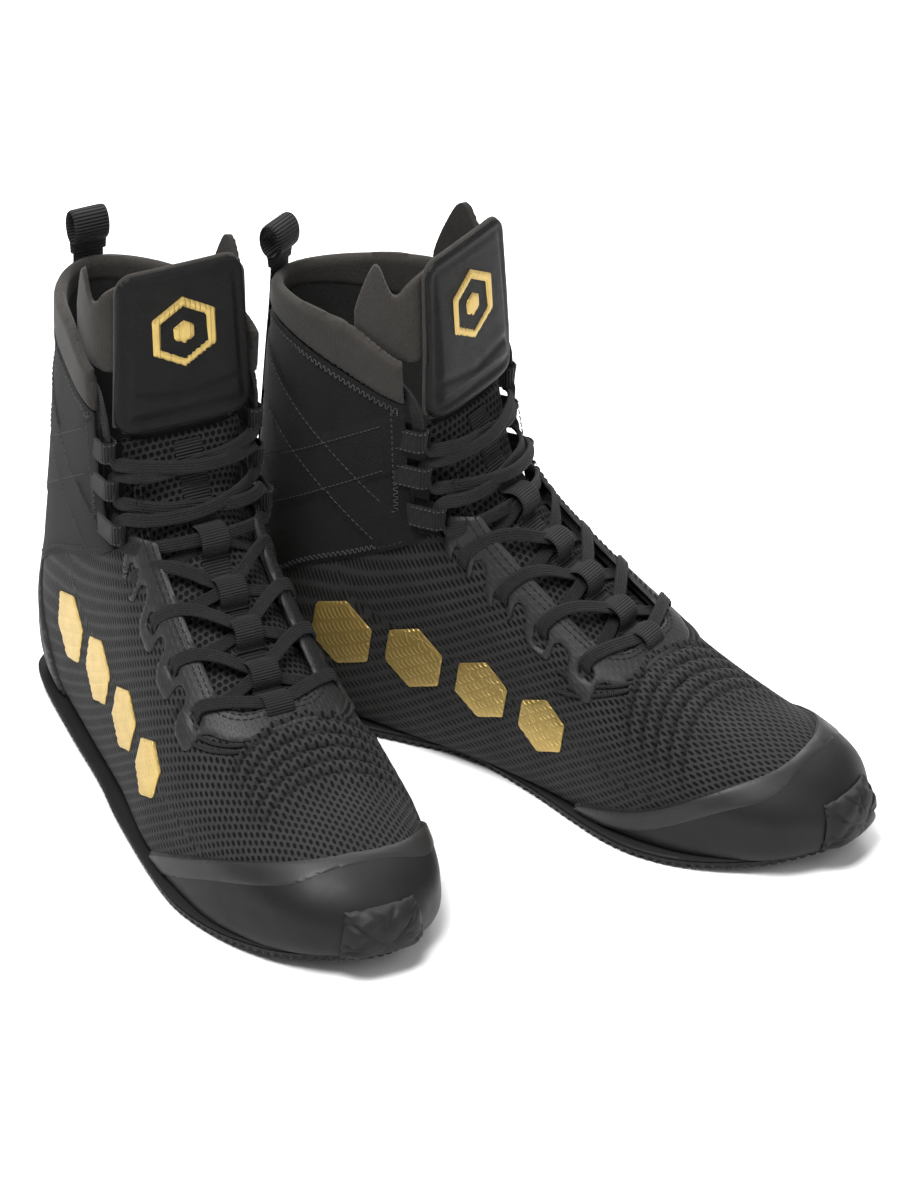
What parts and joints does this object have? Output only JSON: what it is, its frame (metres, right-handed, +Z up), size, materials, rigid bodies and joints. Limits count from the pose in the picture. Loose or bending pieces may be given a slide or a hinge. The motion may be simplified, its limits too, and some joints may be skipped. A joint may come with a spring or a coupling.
{
  "type": "boxing boots",
  "caption": "Pair of high-top lace-up boxing boots: thin rubber soles, knit-mesh uppers, elastic ankle wraps, padded tongue tops and heel pull loops.",
  "frame": {"origin": "on the floor, at the centre of the pair's bounding box", "axes": "+Z up; the toes point towards -Y and fan out to +X; the right boot stands at -X"},
  "size_m": [0.3344, 0.2667, 0.2167],
  "materials": {
    "outsole_rubber": "matt black rubber",
    "midsole_foam": "black foam",
    "board": "stitched fibre board",
    "insole_foam": "cloth-faced foam",
    "knit_mesh": "open knit mesh",
    "elastic_twill": "twill elastic",
    "suede_fabric": "brushed suede-like fabric",
    "lining_fabric": "brushed lining",
    "moulded_toe": "smooth matt moulding",
    "moulded_heel": "smooth matt moulding",
    "film_eyestay": "matt bonded film",
    "gold_film": "satin gold film",
    "spacer_mesh": "open spacer mesh",
    "grosgrain": "ribbed webbing",
    "lace_cord": "flat ribbed lace",
    "aglet_plastic": "clear-coated black tip",
    "tongue_pad": "smooth embossed synthetic leather"
  },
  "bodies": {
    "right_boot": {"right_outsole": "outsole_rubber", "right_midsole": "midsole_foam", "right_lasting_board": "board", "right_insole": "insole_foam", "right_mesh_upper": "knit_mesh", "right_ankle_wrap": "elastic_twill", "right_collar": "suede_fabric", "right_lining": "lining_fabric", "right_toe_cap": "moulded_toe", "right_heel_counter": "moulded_heel", "right_eyestay": "film_eyestay", "right_outer_patches": "gold_film", "right_inner_patches": "gold_film", "right_tongue": "spacer_mesh", "right_tongue_webbing": "grosgrain", "right_lace_keepers": "grosgrain", "right_strap_loops": "grosgrain", "right_lace": "lace_cord", "right_lace_aglets": "aglet_plastic"},
    "right_tongue_top": {"right_tongue_top": "tongue_pad", "right_tongue_wings": "suede_fabric", "right_tongue_emblem": "gold_film"},
    "right_pull_loop": {"right_pull_loop": "grosgrain"},
    "left_boot": {"left_outsole": "outsole_rubber", "left_midsole": "midsole_foam", "left_lasting_board": "board", "left_insole": "insole_foam", "left_mesh_upper": "knit_mesh", "left_ankle_wrap": "elastic_twill", "left_collar": "suede_fabric", "left_lining": "lining_fabric", "left_toe_cap": "moulded_toe", "left_heel_counter": "moulded_heel", "left_eyestay": "film_eyestay", "left_outer_patches": "gold_film", "left_inner_patches": "gold_film", "left_tongue": "spacer_mesh", "left_tongue_webbing": "grosgrain", "left_lace_keepers": "grosgrain", "left_strap_loops": "grosgrain", "left_lace": "lace_cord", "left_lace_aglets": "aglet_plastic"},
    "left_tongue_top": {"left_tongue_top": "tongue_pad", "left_tongue_wings": "suede_fabric", "left_tongue_emblem": "gold_film"},
    "left_pull_loop": {"left_pull_loop": "grosgrain"}
  },
  "joints": [
    {"name": "left_boot_lift", "type": "slide", "parent": "right_boot", "child": "left_boot", "axis": [0, 0, 1], "range_m": [0, 0.25]},
    {"name": "right_tongue_fold", "type": "hinge", "parent": "right_boot", "child": "right_tongue_top", "pos_m": [-0.10399, 0.0371, 0.152], "axis": [0.898, 0.4399, 0], "range_deg": [0, 25], "stiffness_Nm_per_rad": 0.05},
    {"name": "right_pull_loop_fold", "type": "hinge", "parent": "right_boot", "child": "right_pull_loop", "pos_m": [-0.14204, 0.11478, 0.1854], "axis": [0.898, 0.4399, 0], "range_deg": [-40, 40], "stiffness_Nm_per_rad": 0.01},
    {"name": "left_tongue_fold", "type": "hinge", "parent": "left_boot", "child": "left_tongue_top", "pos_m": [0.00599, 0.05835, 0.152], "axis": [0.5461, 0.8377, 0], "range_deg": [0, 25], "stiffness_Nm_per_rad": 0.05},
    {"name": "left_pull_loop_fold", "type": "hinge", "parent": "left_boot", "child": "left_pull_loop", "pos_m": [-0.06648, 0.10559, 0.1854], "axis": [0.5461, 0.8377, 0], "range_deg": [-40, 40], "stiffness_Nm_per_rad": 0.01}
  ]
}
